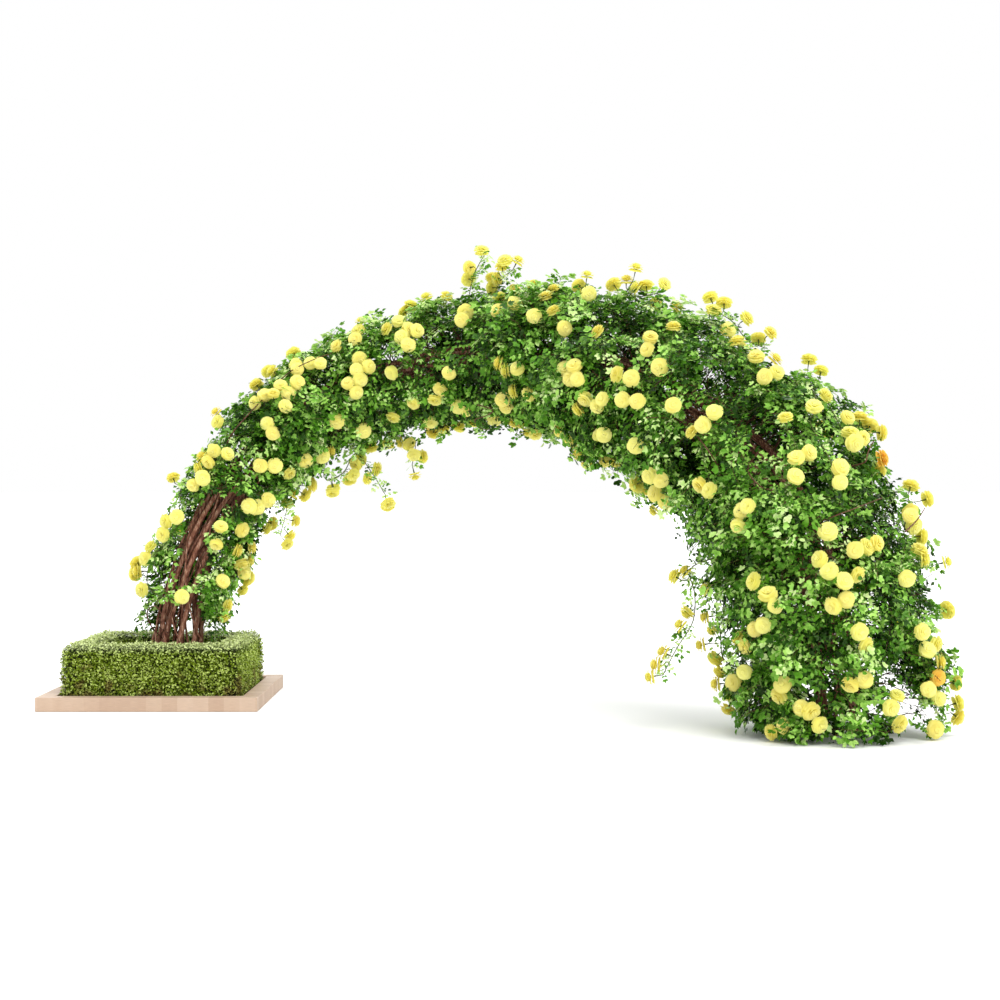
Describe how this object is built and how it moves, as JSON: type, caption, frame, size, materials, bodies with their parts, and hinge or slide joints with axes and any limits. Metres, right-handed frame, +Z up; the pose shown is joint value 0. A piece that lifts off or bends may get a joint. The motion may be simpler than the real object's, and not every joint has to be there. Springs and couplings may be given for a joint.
{
  "type": "climbing rose arch in a planter",
  "caption": "Climbing rose grown as a free arch out of a square hedged planter, to walk or sit under.",
  "frame": {"origin": "middle of the planter's underside, on the ground", "axes": "+Z up, +X along the arch from the planter towards the far foot, -Y towards the viewer"},
  "size_m": [5.9599, 3.379, 3.232],
  "materials": {
    "beech": "planed, oiled",
    "soil": "loose, matt",
    "box_leaf": "leathery, half gloss",
    "bark": "rough bark",
    "rose_leaf": "half gloss",
    "petal": "soft, velvety"
  },
  "bodies": {
    "root": {"kerb_front": "beech", "kerb_right": "beech", "kerb_back": "beech", "kerb_left": "beech", "soil": "soil", "hedge_front": "box_leaf", "hedge_back": "box_leaf", "hedge_left": "box_leaf", "hedge_right": "box_leaf", "cane_1": "bark", "cane_2": "bark", "cane_3": "bark", "cane_4": "bark", "cane_5": "bark", "cane_6": "bark", "cane_7": "bark", "cane_8": "bark", "leafy_bough_01": "rose_leaf", "leafy_bough_02": "rose_leaf", "leafy_bough_03": "rose_leaf", "leafy_bough_04": "rose_leaf", "leafy_bough_05": "rose_leaf", "leafy_bough_06": "rose_leaf", "leafy_bough_07": "rose_leaf", "leafy_bough_08": "rose_leaf", "leafy_bough_09": "rose_leaf", "leafy_bough_10": "rose_leaf", "leafy_bough_11": "rose_leaf", "leafy_bough_12": "rose_leaf", "leafy_bough_13": "rose_leaf", "leafy_bough_14": "rose_leaf", "leafy_bough_15": "rose_leaf", "leafy_bough_16": "rose_leaf", "flowering_shoot_01": "petal", "flowering_shoot_02": "petal", "flowering_shoot_03": "petal", "flowering_shoot_04": "petal", "flowering_shoot_05": "petal", "flowering_shoot_06": "petal", "flowering_shoot_07": "petal", "flowering_shoot_08": "petal", "flowering_shoot_09": "petal", "flowering_shoot_10": "petal", "flowering_shoot_11": "petal", "flowering_shoot_12": "petal", "flowering_shoot_13": "petal", "flowering_shoot_14": "petal", "flowering_shoot_15": "petal", "flowering_shoot_16": "petal", "flowering_shoot_17": "petal", "flowering_shoot_18": "petal", "flowering_shoot_19": "petal", "flowering_shoot_20": "petal", "flowering_shoot_21": "petal", "flowering_shoot_22": "petal", "flowering_shoot_23": "petal", "flowering_shoot_24": "petal", "flowering_shoot_25": "petal", "flowering_shoot_26": "petal", "flowering_shoot_27": "petal"}
  },
  "joints": []
}
